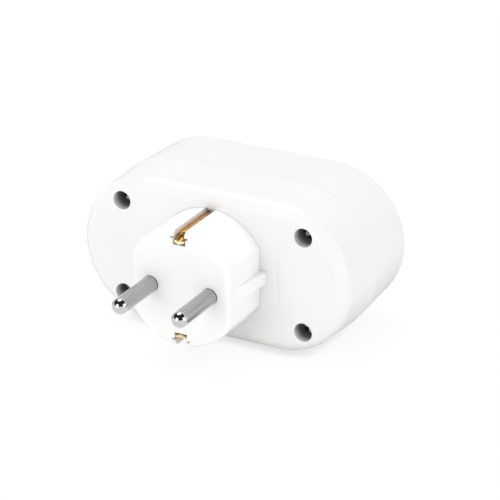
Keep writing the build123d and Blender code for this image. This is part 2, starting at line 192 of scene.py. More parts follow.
class AdapterClips(bpy.types.PropertyGroup):
    """Sizes of the earth clips in the wells."""

    sheet: length("Sheet", "Thickness of a clip", 0.8)
    arm_width: length("Arm width", "Width of an arm above the floor", 5.0)
    tip_width: length("Tip width", "Width of the flared tip", 2.8)
    arm_start: length("Arm start", "From the back of a clip to the start of its arms", 0.8)
    floor: length("Floor", "From the back of a clip to the front of the well's floor", 4.2)
    taper: length("Taper", "The arms narrow from this height above the floor", 4.5)
    touch: length("Touch", "Height of the contact point above the floor", 9.0)
    bow: length("Bow", "How far the contact point stands inside the foot", 1.7)
    bend: length("Bend", "Radius of the bends, at the middle of the sheet", 1.2)
    edge: length("Edge", "Rounding of the sheared edges", 0.16)


class AdapterScrews(bpy.types.PropertyGroup):
    """Sizes of the housing screws."""

    head_radius: length("Head radius", "Half the diameter of the head", 2.6)
    head: length("Head", "Height of the head", 2.0)
    head_round: length("Head rounding", "Rounding of the head's edge", 1.0)
    core: length("Core", "Radius of the core", 1.2)
    thread: length("Thread", "Height of the thread above the core", 0.22)
    pitch: length("Pitch", "From one turn of the thread to the next", 1.06)
    cross_width: length("Cross width", "Width of a wing of the recess", 0.75)
    cross_span: length("Cross span", "Across the recess", 3.7)
    cross_depth: length("Cross depth", "Depth of the recess", 1.1)
    first_turn: angle("First turn", "Where the first screw came to rest", 14)
    next_turn: angle("Next turn", "How much further each next screw was turned", 37)


class AdapterStudio(bpy.types.PropertyGroup):
    """Camera, lamps and floor."""

    azimuth: angle("Azimuth", "Camera round the object, from the plug's side to the right", 28.4)
    elevation: angle("Elevation", "Camera above the floor", 24.1)
    roll: angle("Roll", "Camera about its own axis", -0.4)
    lens: number("Lens", "Focal length in millimetres on a 36 mm sensor", 193.7)
    distance: length("Distance", "From the camera to the plane of the plug", 770)
    aim_right: length("Aim right", "The object stands this far right of the middle", -11.0)
    aim_up: length("Aim up", "The object stands this far above the middle", -4.55)
    ambient: number("Ambient", "Level of the room's light before the plug", 0.86)
    ambient_back: number("Ambient behind", "Level of the room's light behind the wells", 0.5)
    front_lamp: number("Front lamp", "Watts of the soft lamp before the plug", 3.3)
    right_lamp: number("Right lamp", "Watts of the soft lamp on the right", 3.4)
    top_lamp: number("Top lamp", "Watts of the soft lamp overhead", 4.8)
    floor_shade: number("Floor shade", "Share of the floor's white that takes shadow", 0.15)
    floor_glow: number("Floor glow", "Share of the floor's white that doesn't", 0.86)
    floor_contact: number("Floor contact", "How much of that white the object dims where it touches", 0.24)


def centre(node):
    """Middle of a node's box."""
    low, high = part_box(node)
    return (low + high) / 2


def new_object(name, data):
    """New object with its data, linked to the scene."""
    made = bpy.data.objects.new(name, data)
    bpy.context.scene.collection.objects.link(made)
    return made


def surface(name, *grids, worn=None):
    """Mesh over grids of points, each (rows, columns, 3), whose columns go once round.

    Every four neighbours make a quad, the last column joins the first, and a row whose points fall
    together is welded to a pole, so that each grid closes into a skin with its faces outwards. The share
    of wear and painted glint, one value for each point, is kept as an attribute for the finish.
    """
    points = []
    quads = []
    offset = 0
    for grid in grids:
        rows, columns, _ = grid.shape
        index = offset + np.arange(rows * columns).reshape(rows, columns)
        right = np.roll(index, -1, axis=1)
        quads.append(np.stack((index[:-1], right[:-1], right[1:], index[1:]), axis=-1).reshape(-1, 4))
        points.append(grid.reshape(-1, 3))
        offset += rows * columns
    mesh = bpy.data.meshes.new(name)
    mesh.from_pydata(np.concatenate(points), [], np.concatenate(quads))
    if worn is not None:
        mesh.attributes.new("worn", "FLOAT", "POINT").data.foreach_set("value", np.ravel(worn))
    skin = bmesh.new()
    skin.from_mesh(mesh)
    bmesh.ops.remove_doubles(skin, verts=skin.verts, dist=WELD_DISTANCE)
    bmesh.ops.recalc_face_normals(skin, faces=skin.faces)
    skin.to_mesh(mesh)
    skin.free()
    mesh.polygons.foreach_set("use_smooth", np.ones(len(mesh.polygons), dtype=bool))
    mesh.set_sharp_from_angle(angle=SHARP_ANGLE)
    return new_object(name, mesh)


def place(piece, material, slot, *nodes):
    """Gives a new piece its finish, and lets it ride on the body and stand for its nodes."""
    piece.data.materials.append(material)
    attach(piece, BODY)
    if nodes:
        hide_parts(*nodes)


def bevelled(corners, size):
    """Outline through corners, with each inner corner cut off at a distance size along both its sides."""
    corners = np.asarray(corners, dtype=float)
    sides = np.diff(corners, axis=0)
    sides /= np.linalg.norm(sides, axis=1, keepdims=True)
    inner = corners[1:-1]
    cut = np.stack((inner - size * sides[:-1], inner + size * sides[1:]), axis=1)
    return np.vstack((corners[:1], cut.reshape(-1, 2), corners[-1:]))


def turned(profile, x, z, columns):
    """Profile of (radius, depth) rows turned about the line along Y through x and z.

    A point is (x + r cos t, y, z + r sin t), with t round the axis.
    """
    radius, depth = profile[:, :1], profile[:, 1:]
    turn = np.linspace(0, 2 * pi, columns, endpoint=False)
    across = x + radius * np.cos(turn)
    up = z + radius * np.sin(turn)
    return np.stack((across, np.broadcast_to(depth, across.shape), up), axis=-1)


def rounded_path(corners, radius):
    """Path in Y and Z through corners, each inner one taken on a tangent arc, as points at even steps.

    An arc begins radius times the tangent of half the turn before its corner. The arm from its centre is
    then turned by equal shares of the corner's turn.
    """
    corners = np.asarray(corners, dtype=float)
    ahead = np.diff(corners, axis=0)
    ahead /= np.linalg.norm(ahead, axis=1, keepdims=True)
    before, after = ahead[:-1], ahead[1:]
    turn = np.arctan2(
        before[:, 0] * after[:, 1] - before[:, 1] * after[:, 0], np.sum(before * after, axis=1)
    )
    start = corners[1:-1] - (radius * np.tan(np.abs(turn) / 2))[:, None] * before
    inward = np.stack((-before[:, 1], before[:, 0]), axis=1) * np.sign(turn)[:, None]
    arm = -radius * inward
    share = turn[:, None] * np.linspace(0, 1, ARC_POINTS)
    arc_y = arm[:, :1] * np.cos(share) - arm[:, 1:] * np.sin(share)
    arc_z = arm[:, :1] * np.sin(share) + arm[:, 1:] * np.cos(share)
    arcs = (start - arm)[:, None] + np.stack((arc_y, arc_z), axis=-1)
    path = np.vstack((corners[:1], arcs.reshape(-1, 2), corners[-1:]))
    steps = np.linalg.norm(np.diff(path, axis=0), axis=1)
    run = np.concatenate(([0], np.cumsum(steps)))
    even = np.linspace(0, run[-1], int(run[-1] / STRIP_STEP))
    return np.stack([np.interp(even, run, path[:, axis]) for axis in (0, 1)], axis=1)


def strip(path, half_width, sheet, edge, x, crown=0.0, crown_half=1.0):
    """Sheet-metal strip: a rounded rectangle carried along a path in Y and Z, about the plane at x.

    The rectangle's corners are arcs of radius edge. Its width follows half_width, one value for each
    point of the path, and its thickness stands along the path's normal. The sheet is pressed out by crown
    times the square of cos(pi a / 2 b), where a is the distance from its middle and b is crown_half. Both
    ends close over a rounded rim to a pole.
    """
    ahead = np.gradient(path, axis=0)
    ahead /= np.linalg.norm(ahead, axis=1, keepdims=True)
    normal = np.stack((-ahead[:, 1], ahead[:, 0]), axis=1)
    corner = np.linspace(0, pi / 2, CORNER_POINTS)
    run = np.linspace(1, -1, FACE_POINTS + 2)[1:-1]
    level = np.full(FACE_POINTS, pi / 2)
    half_turn = np.concatenate((corner, level, pi / 2 + corner))
    half_side = np.concatenate((np.ones(CORNER_POINTS), run, -np.ones(CORNER_POINTS)))
    turn = np.concatenate((half_turn, pi + half_turn))
    side = np.concatenate((half_side, -half_side))
    face = np.repeat([1, -1], len(half_turn))
    across = side * (half_width[:, None] - edge) + edge * np.cos(turn)
    bulge = np.cos(pi / 2 * np.clip(np.abs(across) / crown_half, 0, 1)) ** 2
    through = face * (sheet / 2 - edge) + edge * np.sin(turn) + np.reshape(crown, (-1, 1)) * bulge
    flat = path[:, None] + through[..., None] * normal[:, None]
    grid = np.concatenate(((x + across)[..., None], flat), axis=-1)

    def cap(end):
        """Pole and rim at one end of the path."""
        middle = np.array([x, *path[end]])
        thin = 1 - 2 * edge / sheet
        rim = middle + (grid[end] - middle) * [1 - edge / half_width[end], thin, thin]
        return np.stack((np.broadcast_to(middle, rim.shape), rim))

    return np.concatenate((cap(0), grid[1:-1], cap(-1)[::-1]))


def add(tree, kind, inputs=None, **settings):
    """New shader node with its settings, and with each input set to a value or linked to a socket."""
    made = tree.nodes.new(kind)
    for key, value in settings.items():
        setattr(made, key, value)
    for key, value in (inputs or {}).items():
        if isinstance(value, bpy.types.NodeSocket):
            tree.links.new(value, made.inputs[key])
        else:
            made.inputs[key].default_value = value
    return made


def calc(tree, operation, first, second=0.0):
    """Result of one operation on sockets or numbers."""
    return add(tree, "ShaderNodeMath", {0: first, 1: second}, operation=operation).outputs[0]


def ramp(tree, value, low, high, bottom=0.0, top=1.0):
    """Value from low to high carried smoothly to bottom to top."""
    inputs = {"Value": value, "From Min": low, "From Max": high, "To Min": bottom, "To Max": top}
    return add(tree, "ShaderNodeMapRange", inputs, interpolation_type="SMOOTHSTEP").outputs["Result"]


def blended(tree, share, first, second):
    """Colour between two others."""
    return add(tree, "ShaderNodeMix", {0: share, 6: first, 7: second}, data_type="RGBA").outputs[2]


def noise(tree, position, scale, detail):
    """Cloudy value about a half, with its own scale in each direction."""
    stretched = add(tree, "ShaderNodeVectorMath", {0: position, 1: scale}, operation="MULTIPLY")
    inputs = {"Vector": stretched.outputs[0], "Scale": 1.0, "Detail": detail}
    return add(tree, "ShaderNodeTexNoise", inputs).outputs[0]


def grey(level):
    """Opaque grey of one level."""
    return (level, level, level, 1)


def dimmed(colour, share):
    """Colour at a share of its level."""
    return [share * value for value in colour]


def emptied(owner):
    """Node tree of a material or a world, with nothing in it yet."""
    owner.use_nodes = True
    owner.node_tree.nodes.clear()
    return owner.node_tree


def new_effect(name):
    """Empty node group for a finish, and its entry and exit.

    It takes a position, a colour, a second colour to mix in and a roughness, and gives a colour, a
    roughness and the height of a fine relief.
    """
    tree = bpy.data.node_groups.new(name, "ShaderNodeTree")
    given = {"Position": "Vector", "Colour": "Color", "Second": "Color", "Roughness": "Float"}
    result = {"Colour": "Color", "Roughness": "Float", "Height": "Float"}
    for in_out, sockets in (("INPUT", given), ("OUTPUT", result)):
        for socket, kind in sockets.items():
            tree.interface.new_socket(name=socket, in_out=in_out, socket_type="NodeSocket" + kind)
    return tree, tree.nodes.new("NodeGroupInput").outputs, tree.nodes.new("NodeGroupOutput").inputs


# Moulded skin: waves in a metre along each axis, then ranges and shares
SKIN_GRAIN = (5200, 5200, 5200)
SKIN_RIPPLE = (130, 130, 130)
SKIN_TONE = (38, 38, 38)
SKIN_TONE_RANGE = (0.35, 0.7)
SKIN_GRAIN_GLOSS = 0.10
SKIN_GRAIN_HEIGHT = 0.16
SKIN_RIPPLE_HEIGHT = 2.2


def moulded_skin():
    """Skin of moulded plastic: a fine spark-eroded grain on a slow ripple, and a faint change of tone."""
    tree, given, result = new_effect(EFFECTS[moulded_skin])
    grain = noise(tree, given["Position"], SKIN_GRAIN, 3)
    ripple = noise(tree, given["Position"], SKIN_RIPPLE, 1)
    tone = ramp(tree, noise(tree, given["Position"], SKIN_TONE, 3), *SKIN_TONE_RANGE)
    tree.links.new(blended(tree, tone, given["Colour"], given["Second"]), result["Colour"])
    gloss = calc(tree, "MULTIPLY", calc(tree, "SUBTRACT", grain, 0.5), SKIN_GRAIN_GLOSS)
    tree.links.new(calc(tree, "ADD", given["Roughness"], gloss), result["Roughness"])
    fine = calc(tree, "MULTIPLY", grain, SKIN_GRAIN_HEIGHT)
    slow = calc(tree, "MULTIPLY", ripple, SKIN_RIPPLE_HEIGHT)
    tree.links.new(calc(tree, "ADD", fine, slow), result["Height"])
    return tree


# Rolled sheet
SHEET_LINES = (9000, 260, 9000)
SHEET_PATCHES = (420, 300, 420)
SHEET_LINE_RANGE = (0.3, 0.8)
SHEET_PATCH_RANGE = (0.42, 0.72)
SHEET_LINE_TINT = 0.25
SHEET_PATCH_TINT = 0.6
SHEET_LINE_GLOSS = 0.08
SHEET_PATCH_GLOSS = 0.14


def rolled_sheet():
    """Rolled spring metal: drawing lines along Y, and patches where the bare metal has dulled."""
    tree, given, result = new_effect(EFFECTS[rolled_sheet])
    lines = noise(tree, given["Position"], SHEET_LINES, 3)
    dull = ramp(tree, noise(tree, given["Position"], SHEET_PATCHES, 4), *SHEET_PATCH_RANGE)
    streak = calc(tree, "MULTIPLY", ramp(tree, lines, *SHEET_LINE_RANGE), SHEET_LINE_TINT)
    share = calc(tree, "ADD", calc(tree, "MULTIPLY", dull, SHEET_PATCH_TINT), streak)
    tree.links.new(blended(tree, share, given["Colour"], given["Second"]), result["Colour"])
    rough = calc(tree, "MULTIPLY", dull, SHEET_PATCH_GLOSS)
    gloss = calc(tree, "ADD", rough, calc(tree, "MULTIPLY", lines, SHEET_LINE_GLOSS))
    tree.links.new(calc(tree, "ADD", given["Roughness"], gloss), result["Roughness"])
    tree.links.new(lines, result["Height"])
    return tree


# Turned rings
RING_LINES = (0, 5200, 0)
RING_SMEARS = (330, 170, 330)
RING_SMEAR_RANGE = (0.4, 0.75)
RING_SMEAR_TINT = 0.5
RING_SMEAR_GLOSS = 0.07
RING_LINE_GLOSS = 0.05


def turned_rings():
    """Turned and plated metal: fine tool rings about the Y axis under a plating with faint smears."""
    tree, given, result = new_effect(EFFECTS[turned_rings])
    rings = noise(tree, given["Position"], RING_LINES, 3)
    smear = ramp(tree, noise(tree, given["Position"], RING_SMEARS, 3), *RING_SMEAR_RANGE)
    share = calc(tree, "MULTIPLY", smear, RING_SMEAR_TINT)
    tree.links.new(blended(tree, share, given["Colour"], given["Second"]), result["Colour"])
    rough = calc(tree, "MULTIPLY", smear, RING_SMEAR_GLOSS)
    gloss = calc(tree, "ADD", rough, calc(tree, "MULTIPLY", rings, RING_LINE_GLOSS))
    tree.links.new(calc(tree, "ADD", given["Roughness"], gloss), result["Roughness"])
    tree.links.new(rings, result["Height"])
    return tree


# Drawn bar
BAR_LINES = (2300, 55, 2300)
BAR_LINE_RANGE = (0.48, 0.68)
BAR_LINE_GLOSS = 0.08


def drawn_bar():
    """Drawn and plated bar: lines along Y, some of them dull, that run out in the plating."""
    tree, given, result = new_effect(EFFECTS[drawn_bar])
    lines = noise(tree, given["Position"], BAR_LINES, 2)
    dull = ramp(tree, lines, *BAR_LINE_RANGE)
    tree.links.new(blended(tree, dull, given["Colour"], given["Second"]), result["Colour"])
    gloss = calc(tree, "MULTIPLY", dull, BAR_LINE_GLOSS)
    tree.links.new(calc(tree, "ADD", given["Roughness"], gloss), result["Roughness"])
    tree.links.new(lines, result["Height"])
    return tree


EFFECTS = {
    moulded_skin: "Moulded skin",
    rolled_sheet: "Rolled sheet",
    turned_rings: "Turned rings",
    drawn_bar: "Drawn bar",
}
Finish = namedtuple("Finish", "material tree shader effect relief position")


def finish(name, builder, colour, second, roughness, depth):
    """Material whose colour, roughness and fine relief come from a shared effect.

    The effect is built once and placed in each material with its own values. Depth is the height of the
    relief in metres. Gives the material with its tree, the nodes that a finish may change and the
    position on the object.
    """
    group = bpy.data.node_groups.get(EFFECTS[builder]) or builder()
    material = bpy.data.materials.new(name)
    tree = emptied(material)
    position = add(tree, "ShaderNodeTexCoord").outputs["Object"]
    inputs = {
        "Position": position,
        "Colour": (*colour, 1),
        "Second": (*second, 1),
        "Roughness": roughness,
    }
    effect = add(tree, "ShaderNodeGroup", inputs, node_tree=group)
    relief = add(tree, "ShaderNodeBump", {"Height": effect.outputs["Height"], "Distance": depth})
    shader = add(tree, "ShaderNodeBsdfPrincipled", {
        "Base Color": effect.outputs["Colour"],
        "Roughness": effect.outputs["Roughness"],
        "Normal": relief.outputs["Normal"],
    })
    add(tree, "ShaderNodeOutputMaterial", {"Surface": shader.outputs["BSDF"]})
    return Finish(material, tree, shader, effect, relief, position)


# Fine relief of the finishes
PLASTIC_RELIEF = 0.004 * MM
SHEET_RELIEF = 0.006 * MM
TURNED_RELIEF = 0.0012 * MM

# Level of the second colour of a finish, as a share of the first
PLASTIC_SHADE = 0.985
NICKEL_SMEAR = 0.88
STEEL_SMEAR = 0.6
BRASS_TARNISH = 0.62

PLASTIC_IOR = 1.5


def white_plastic(name, colour, roughness):
    """Glossy white moulding, nearly neutral."""
    shade = dimmed(colour, PLASTIC_SHADE)
    made = finish(name, moulded_skin, colour, shade, roughness, PLASTIC_RELIEF)
    made.shader.inputs["IOR"].default_value = PLASTIC_IOR
    return made


def nose_plastic(looks):
    """White plastic of the plug's nose and of the walls in its slots, a lighter copy of the shells' white
    that paints light on them.
    """
    return white_plastic("nose_plastic", looks.nose, looks.plastic_roughness).material


# Sink marks on the rear face, over the ribs behind the wall at the ends of the nose's ears
SINK_ACROSS = 21.2 * MM
SINK_HALF_HEIGHT = 8.4 * MM
SINK_WIDTH = 0.46 * MM
SINK_FADE = 1.0 * MM
SINK_DEPTH = 0.16 * MM
SINK_REAR = (0.2 * MM, 0.6 * MM)


def sink_marks(tree, position):
    """Shallow dip along two upright lines of the rear face, as a height in steps of the plastic's relief.

    The dip is exp of minus the square of the distance from a line over its width. It fades out past the
    ends of the line and behind the rear face.
    """
    split = add(tree, "ShaderNodeSeparateXYZ", {0: position}).outputs
    off = calc(tree, "SUBTRACT", calc(tree, "ABSOLUTE", split["X"]), SINK_ACROSS)
    square = calc(tree, "POWER", calc(tree, "ABSOLUTE", calc(tree, "DIVIDE", off, SINK_WIDTH)), 2)
    dip = calc(tree, "EXPONENT", calc(tree, "MULTIPLY", square, -1))
    high = calc(tree, "ABSOLUTE", split["Z"])
    along = ramp(tree, high, SINK_HALF_HEIGHT - SINK_FADE, SINK_HALF_HEIGHT + SINK_FADE, 1, 0)
    rear = ramp(tree, split["Y"], *SINK_REAR, 1, 0)
    mask = calc(tree, "MULTIPLY", calc(tree, "MULTIPLY", dip, along), rear)
    return calc(tree, "MULTIPLY", mask, -SINK_DEPTH / PLASTIC_RELIEF)


# Painted shade in the screw holes: the plastic's colour darkened with depth
HOLE_RADIUS = 3.0 * MM
HOLE_SHADE_START = 0.4 * MM
HOLE_SHADE_END = 3.8 * MM
HOLE_SHADE_SHARE = 0.8
HOLE_SHADE_GREY = 0.03


def hole_painted_shade(tree, position, screws):
    """Share of painted shade in the screw holes: it grows with depth, within a radius of the screws' axes.

    The four axes mirror onto each other, so the distance is measured from one of them with the absolute
    values of X and Z.
    """
    split = add(tree, "ShaderNodeSeparateXYZ", {0: position}).outputs
    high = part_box("housing_screws")[1]
    across = calc(tree, "SUBTRACT", calc(tree, "ABSOLUTE", split["X"]), high.x - screws.head_radius)
    up = calc(tree, "SUBTRACT", calc(tree, "ABSOLUTE", split["Z"]), high.z - screws.head_radius)
    flat = add(tree, "ShaderNodeCombineXYZ", {"X": across, "Z": up}).outputs[0]
    away = add(tree, "ShaderNodeVectorMath", {0: flat}, operation="LENGTH").outputs["Value"]
    inside = calc(tree, "LESS_THAN", away, HOLE_RADIUS)
    deep = ramp(tree, split["Y"], HOLE_SHADE_START, HOLE_SHADE_END)
    return calc(tree, "MULTIPLY", inside, calc(tree, "MULTIPLY", deep, HOLE_SHADE_SHARE))


def rear_plastic(looks, screws):
    """White plastic of the rear shell, with sink marks over two ribs and painted shade in the screw holes.
    """
    made = white_plastic("rear_plastic", looks.plastic, looks.plastic_roughness)
    tree = made.tree
    height = calc(tree, "ADD", made.effect.outputs["Height"], sink_marks(tree, made.position))
    tree.links.new(height, made.relief.inputs["Height"])
    # Painted shade: the plastic's colour darkens to a dark grey deep in the screw holes
    share = hole_painted_shade(tree, made.position, screws)
    colour = blended(tree, share, made.effect.outputs["Colour"], grey(HOLE_SHADE_GREY))
    tree.links.new(colour, made.shader.inputs["Base Color"])
    return made.material


# How far the polish of the ball and the painted highlight on the rubbed end of the strap fade
POLISH_FADE = 0.25 * MM
RUBBED_HIGHLIGHT_FADE = 0.15 * MM


def up_to(made, end, fade):
    """1 in front of a depth along Y, 0 behind it, with a smooth fade on both sides of it."""
    depth = add(made.tree, "ShaderNodeSeparateXYZ", {0: made.position}).outputs["Y"]
    return ramp(made.tree, depth, end - fade, end + fade, 1, 0)


def plated_nickel(looks, shaft):
    """Nickel over drawn brass, polished on the ball, which ends at the depth where the shaft starts."""
    smear = dimmed(looks.nickel, NICKEL_SMEAR)
    made = finish("plated_nickel", drawn_bar, looks.nickel, smear, looks.nickel_roughness, TURNED_RELIEF)
    tree = made.tree
    ball = up_to(made, shaft, POLISH_FADE)
    colour = blended(tree, ball, made.effect.outputs["Colour"], (*looks.polish, 1))
    inputs = {0: ball, 2: made.effect.outputs["Roughness"], 3: looks.polish_roughness}
    tree.links.new(colour, made.shader.inputs["Base Color"])
    tree.links.new(add(tree, "ShaderNodeMix", inputs).outputs[0], made.shader.inputs["Roughness"])
    made.shader.inputs["Metallic"].default_value = 1.0
    return made.material


def black_steel(looks):
    """Blackened screw steel, with the worn edge round the recess painted near white and non-metallic as a
    painted glint.
    """
    smear = dimmed(looks.steel, STEEL_SMEAR)
    made = finish("black_steel", turned_rings, looks.steel, smear, looks.steel_roughness, TURNED_RELIEF)
    tree = made.tree
    # Painted glint: near-white, non-metallic colour on the worn edge of the recess
    worn = add(tree, "ShaderNodeAttribute", attribute_name="worn").outputs["Fac"]
    colour = blended(tree, worn, made.effect.outputs["Colour"], (*looks.glint_worn_steel, 1))
    tree.links.new(colour, made.shader.inputs["Base Color"])
    tree.links.new(calc(tree, "SUBTRACT", 1.0, worn), made.shader.inputs["Metallic"])
    return made.material


def spring_bronze(looks):
    """Tarnished phosphor bronze, with a painted highlight of bright cream on the rubbed front end of the
    plug's earth strap.
    """
    made = finish(
        "spring_bronze", rolled_sheet, looks.bronze, looks.tarnish, looks.bronze_roughness, SHEET_RELIEF
    )
    front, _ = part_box("plug_earth_strap")
    # Painted highlight: the strap's front end turns bright cream
    rubbed_highlight = up_to(made, front.y + looks.rubbed_highlight_length, RUBBED_HIGHLIGHT_FADE)
    colour = blended(made.tree, rubbed_highlight, made.effect.outputs["Colour"], (*looks.rubbed_highlight, 1))
    made.tree.links.new(colour, made.shader.inputs["Base Color"])
    made.shader.inputs["Metallic"].default_value = 1.0
    return made.material


def contact_brass(looks):
    """Stamped brass of the bars, contacts and rivets."""
    dull = dimmed(looks.brass, BRASS_TARNISH)
    made = finish("contact_brass", rolled_sheet, looks.brass, dull, looks.bronze_roughness, SHEET_RELIEF)
    made.shader.inputs["Metallic"].default_value = 1.0
    return made.material


def kept(name, builder, looks):
    """Finish of a name, built if no other piece has it yet."""
    return bpy.data.materials.get(name) or builder(looks)


def dress(material, *nodes):
    """Puts a finish in the material slots of carried-over nodes."""
    for node in nodes:
        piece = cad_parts[node]
        if not piece.material_slots:
            piece.data.materials.append(material)
        for slot in piece.material_slots:
            slot.material = material


class ADAPTER_OT_housing(bpy.types.Operator):
    """Finish the two shells and the plug's nose"""

    bl_idname = "adapter.housing"
    bl_label = "Finish housing"

    def execute(self, context):
        looks = context.scene.adapter_finish
        dress(rear_plastic(looks, context.scene.adapter_screws), "rear_housing")
        dress(nose_plastic(looks), "plug_nose")
        front = white_plastic("front_plastic", looks.plastic, looks.plastic_roughness)
        dress(front.material, "front_housing")
        return {"FINISHED"}


class ADAPTER_OT_contacts(bpy.types.Operator):
    """Finish the bars, contacts and rivets inside"""

    bl_idname = "adapter.contacts"
    bl_label = "Finish contacts"

    def execute(self, context):
        brass = contact_brass(context.scene.adapter_finish)
        ends = [f"{pole}_contact_{side}" for pole in ("live", "neutral") for side in ("left", "right")]
        dress(brass, "live_bar", "neutral_bar", "contact_rivets", "earth_bar", "earth_rivets", *ends)
        return {"FINISHED"}


def pin_profile(sizes, face, end):
    """Radius and depth down a pin: a ball, the shaft, the neck, the shank, the collar and the riveted tail.

    The ball is (R sin t, tip + R - R cos t) over a quarter turn. The rest is straight with broken edges.
    """
    tip = face - sizes.reach
    turn = np.linspace(0, pi / 2, BALL_ROWS)
    ball = np.stack((sizes.radius * np.sin(turn), tip + sizes.radius * (1 - np.cos(turn))), axis=1)
    neck = sizes.radius - sizes.neck_step
    shank = sizes.radius + sizes.shank_step
    collar = shank + sizes.collar_step
    tail = sizes.radius - sizes.tail_step
    tab = face + sizes.sleeve + sizes.collar
    corners = [
        (sizes.radius, tip + sizes.radius),
        (sizes.radius, face - sizes.neck_reveal),
        (neck, face - sizes.neck_reveal),
        (neck, face + sizes.neck_length),
        (shank, face + sizes.neck_length),
        (shank, face + sizes.sleeve),
        (collar, face + sizes.sleeve),
        (collar, tab),
        (tail, tab),
        (tail, end - sizes.head),
        (tail + sizes.head, end - sizes.head),
        (tail, end),
        (0, end),
    ]
    return np.vstack((ball[:-1], bevelled(corners, sizes.bevel)))


class ADAPTER_OT_pins(bpy.types.Operator):
    """Turn the two plug pins"""

    bl_idname = "adapter.pins"
    bl_label = "Turn pins"

    def execute(self, context):
        sizes = context.scene.adapter_pins
        nickel = plated_nickel(context.scene.adapter_finish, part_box("live_pin")[0].y + sizes.radius)
        for node in ("live_pin", "neutral_pin"):
            low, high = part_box(node)
            profile = pin_profile(sizes, low.y + sizes.reach, high.y)
            axis = centre(node)
            pin = surface(node + "_turned", turned(profile, axis.x, axis.z, PIN_COLUMNS))
            place(pin, nickel, "pins", node)
        return {"FINISHED"}


class ADAPTER_OT_strap(bpy.types.Operator):
    """Bend the plug's earth strap"""

    bl_idname = "adapter.strap"
    bl_label = "Bend earth strap"

    def execute(self, context):
        sizes = context.scene.adapter_strap
        low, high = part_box("plug_earth_strap")
        front = low.y
        base = high.y - sizes.sheet / 2
        level = high.z - sizes.sheet / 2
        sprung = level + sizes.spring
        step_start = front + sizes.lip + sizes.step
        arm = [
            (front, level - sizes.dip + sizes.curl),
            (front + sizes.scoop, level - sizes.dip),
            (step_start, sprung),
            (base, sprung),
        ]
        path = rounded_path(arm + [(y, -z) for y, z in reversed(arm)], sizes.bend)
        wide = (high.x - low.x) / 2
        shoulder = step_start + sizes.bend
        half_width = np.where(path[:, 0] < shoulder, sizes.tip_width / 2, wide)
        rise = np.clip((path[:, 0] - step_start) / sizes.step, 0, 1) * (np.abs(path[:, 1]) > level / 2)
        crown = sizes.crown * rise * np.clip((base - path[:, 0]) / sizes.step, 0, 1)
        crown -= sizes.hollow * np.clip((step_start - path[:, 0]) / sizes.step, 0, 1)
        middle = centre("plug_earth_strap").x
        grid = strip(path, half_width, sizes.sheet, sizes.edge, middle, crown, sizes.crown_half)
        strap = surface("earth_strap_bent", grid)
        place(strap, spring_bronze(context.scene.adapter_finish), "earth", "plug_earth_strap")
        return {"FINISHED"}


class ADAPTER_OT_slot_ends(bpy.types.Operator):
    """Close the rear ends of the two earth slots"""

    bl_idname = "adapter.slot_ends"
    bl_label = "Close slot ends"

    def execute(self, context):
        sizes = context.scene.adapter_slots
        _, nose_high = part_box("plug_nose")
        top = nose_high.z - sizes.cover
        bottom = top - sizes.height
        grids = []
        for up in (1, -1):
            path = rounded_path([(sizes.depth, up * bottom), (sizes.depth, up * top)], sizes.edge)
            half_width = np.full(len(path), sizes.width / 2)
            grids.append(strip(path, half_width, sizes.thickness, sizes.edge, centre("plug_nose").x))
        # The walls take the nose's plastic, painted lighter than the shells' white
        plastic = kept("nose_plastic", nose_plastic, context.scene.adapter_finish)
        place(surface("earth_slot_ends", *grids), plastic, "housing")
        return {"FINISHED"}


class ADAPTER_OT_clips(bpy.types.Operator):
    """Bend the earth clips of the two wells"""

    bl_idname = "adapter.clips"
    bl_label = "Bend earth clips"

    def execute(self, context):
        sizes = context.scene.adapter_clips
        bronze = kept("spring_bronze", spring_bronze, context.scene.adapter_finish)
        for node in ("earth_clip_left", "earth_clip_right"):
            low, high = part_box(node)
            back = low.y
            floor = back + sizes.floor
            touch = floor + sizes.touch
            reach = high.y
            foot = high.z - sizes.sheet / 2
            arm = [
                (reach, foot),
                (touch, foot - sizes.bow),
                (floor + sizes.sheet, foot),
                (back + sizes.sheet / 2, foot),
            ]
            path = rounded_path(arm + [(y, -z) for y, z in reversed(arm)], sizes.bend)
            wide = (high.x - low.x) / 2
            start = back + sizes.arm_start
            heights = [back, start, start, floor + sizes.taper, touch, reach]
            halves = np.repeat([wide, sizes.arm_width / 2, sizes.tip_width / 2], 2)
            half_width = np.interp(path[:, 0], heights, halves)
            grid = strip(path, half_width, sizes.sheet, sizes.edge, centre(node).x)
            place(surface(node + "_bent", grid), bronze, "earth", node)
        return {"FINISHED"}


# Slopes of the cross recess, its worn edge painted bright as a glint, and half the thread's ridge as a
# share of the pitch
RECESS_WALL = 0.14 * MM
RECESS_END = 0.4 * MM
WORN_GLINT_EDGE = 0.17 * MM
RIDGE_HALF = 0.3


def recess(sizes, across, along, grown):
    """Share of the cross recess's depth, from the smaller and the larger distance from its two axes.

    It is full inside half the wing's width and half the span, both grown by a margin, and falls off
    over a steep wall and a slower end.
    """
    wing = np.clip((sizes.cross_width / 2 + grown - across) / RECESS_WALL + 0.5, 0, 1)
    return wing * np.clip((sizes.cross_span / 2 + grown - along) / RECESS_END + 0.5, 0, 1)


